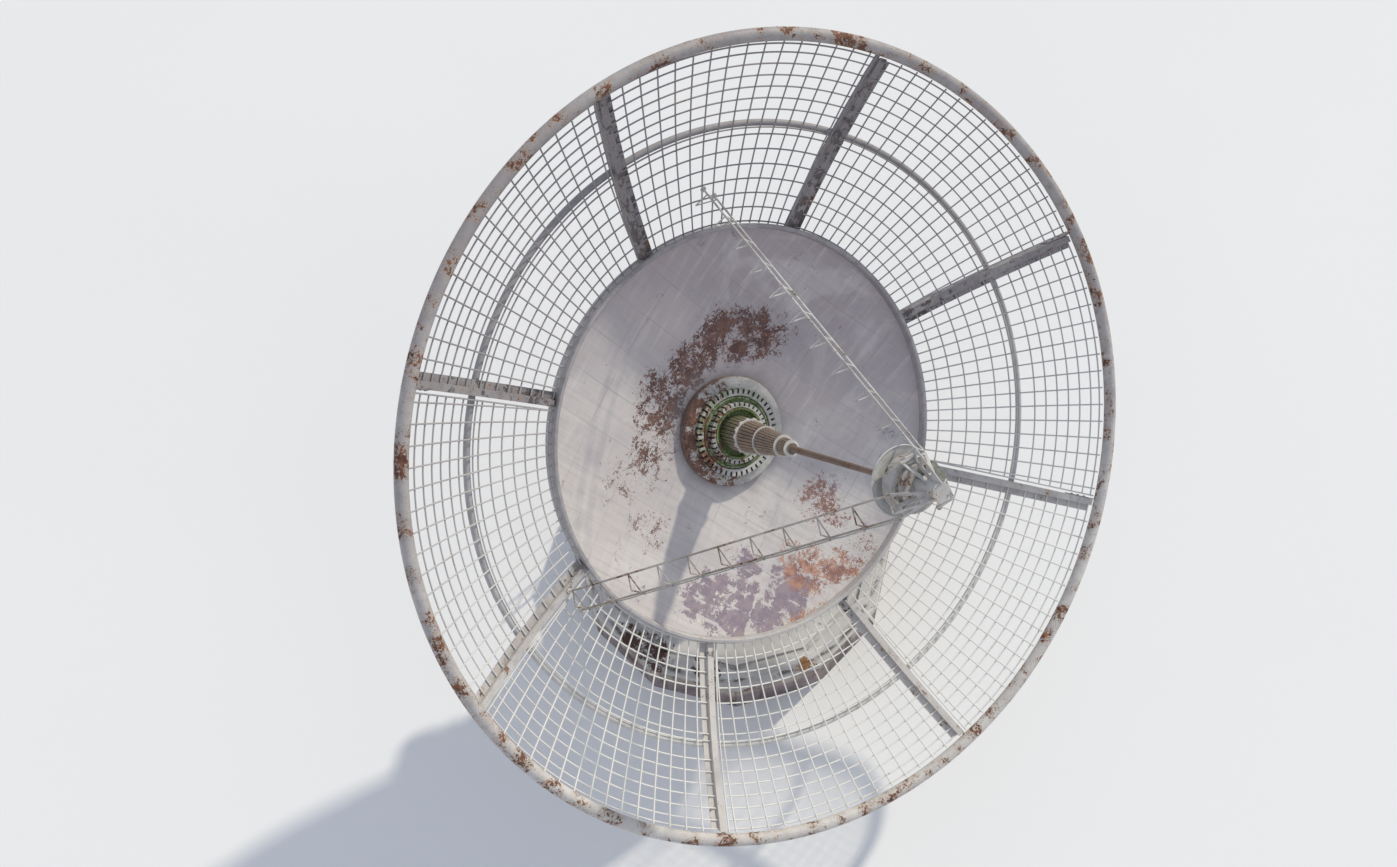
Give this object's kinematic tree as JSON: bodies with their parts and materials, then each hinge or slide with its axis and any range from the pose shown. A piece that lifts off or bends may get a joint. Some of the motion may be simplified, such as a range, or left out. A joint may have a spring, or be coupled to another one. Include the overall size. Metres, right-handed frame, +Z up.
{
  "type": "parabolic grid antenna",
  "caption": "Large ground-station dish: solid centre, ribbed wire-grid outer ring, lattice tripod, fluted feed horn, twelve-sided plinth with azimuth and elevation drives.",
  "frame": {"origin": "centre of the plinth at ground level, on the azimuth axis", "axes": "+Z up, the reflector looks towards -Y at 44 degrees elevation, +X completes the right-handed frame along the elevation shaft"},
  "size_m": [12, 8.8808, 11.0846],
  "materials": {
    "white_paint": "weathered matt",
    "panel_paint": "weathered matt",
    "galvanised_wire": "dull",
    "rusty_paint": "rust stained",
    "weathered_render": "rough",
    "concrete": "rough",
    "column_paint": "weathered matt",
    "dark_steel": "satin",
    "gear_steel": "oiled",
    "cast_housing": "rough",
    "door_paint": "weathered matt",
    "horn_bronze": "faded",
    "mast_brown": "faded",
    "moss_paint": "mossy",
    "fastener": "dull"
  },
  "bodies": {
    "base": {"footing_skirt": "weathered_render", "plinth_wall": "weathered_render", "floor_slab": "concrete", "deck_slab": "concrete", "hatch_frame": "dark_steel", "hinge_pins": "fastener", "wall_vents": "dark_steel", "access_ladders": "dark_steel", "pedestal": "column_paint", "pedestal_bolts": "fastener", "junction_box": "door_paint", "slew_ring_gear": "gear_steel"},
    "azimuth_carriage": {"slew_inner_race": "gear_steel", "turntable": "dark_steel", "yoke_cheeks": "column_paint", "bearing_housings": "cast_housing", "azimuth_gearbox": "cast_housing", "elevation_gearbox": "cast_housing"},
    "reflector": {"apex_hub": "white_paint", "backing_beams": "white_paint", "backing_ring": "white_paint", "counterweight_arms": "column_paint", "counterweights": "cast_housing", "cradle": "column_paint", "equipment_box": "moss_paint", "equipment_lid": "moss_paint", "feed_base_flange": "rusty_paint", "feed_mast": "mast_brown", "fluted_horn": "horn_bronze", "focus_drive": "rusty_paint", "guide_sleeve": "white_paint", "horn_bowl": "moss_paint", "horn_collars": "panel_paint", "hub_drum": "white_paint", "inner_grid": "galvanised_wire", "leg_feet": "white_paint", "leg_left": "white_paint", "leg_right": "white_paint", "leg_upper": "white_paint", "lip_ring": "white_paint", "lower_louvre_ring": "panel_paint", "mid_ring": "white_paint", "outer_grid": "galvanised_wire", "radial_ribs": "white_paint", "reflector_skin": "panel_paint", "rim_bracket_bolts": "fastener", "rim_brackets": "white_paint", "rim_tube": "white_paint", "sector_gear": "gear_steel", "trough_ring": "moss_paint", "trunnion_shafts": "gear_steel", "upper_louvre_ring": "panel_paint"},
    "focus_carriage": {"subreflector": "panel_paint", "slide_tube": "gear_steel", "slide_bolts": "fastener"},
    "hatch": {"hatch_leaf": "door_paint"},
    "hatch_handle": {"hatch_handle": "gear_steel"},
    "azimuth_pinion": {"azimuth_pinion": "gear_steel"},
    "elevation_pinion": {"elevation_pinion": "gear_steel"}
  },
  "joints": [
    {"name": "azimuth_turn", "type": "hinge", "parent": "base", "child": "azimuth_carriage", "pos_m": [0, 0, 3.2], "axis": [0, 0, 1], "range_deg": [-270, 270]},
    {"name": "azimuth_pinion_turn", "type": "hinge", "parent": "azimuth_carriage", "child": "azimuth_pinion", "pos_m": [0, 0.88, 3.2], "axis": [0, 0, 1], "range_deg": [-1051, 1051]},
    {"name": "elevation_turn", "type": "hinge", "parent": "azimuth_carriage", "child": "reflector", "pos_m": [0, 0.6, 4.54], "axis": [-1, 0, 0], "range_deg": [-14, 46]},
    {"name": "elevation_pinion_turn", "type": "hinge", "parent": "azimuth_carriage", "child": "elevation_pinion", "pos_m": [-0.56, 0.6, 3.56], "axis": [-1, 0, 0], "range_deg": [-205, 63]},
    {"name": "focus_slide", "type": "slide", "parent": "reflector", "child": "focus_carriage", "axis": [0, -0.7193, 0.6947], "range_m": [-0.04, 0.04]},
    {"name": "hatch_swing", "type": "hinge", "parent": "base", "child": "hatch", "pos_m": [0.17493, 2.81952, 0.45], "axis": [0, 0, -1], "range_deg": [0, 88]},
    {"name": "hatch_handle_turn", "type": "hinge", "parent": "hatch", "child": "hatch_handle", "pos_m": [-0.52241, 2.75851, 0.45], "axis": [-0.0872, 0.9962, 0], "range_deg": [0, 90]}
  ],
  "couplings": [
    {"joint": "azimuth_pinion_turn", "follows": "azimuth_turn", "ratio": 3.8889},
    {"joint": "elevation_pinion_turn", "follows": "elevation_turn", "ratio": -4.4444}
  ]
}
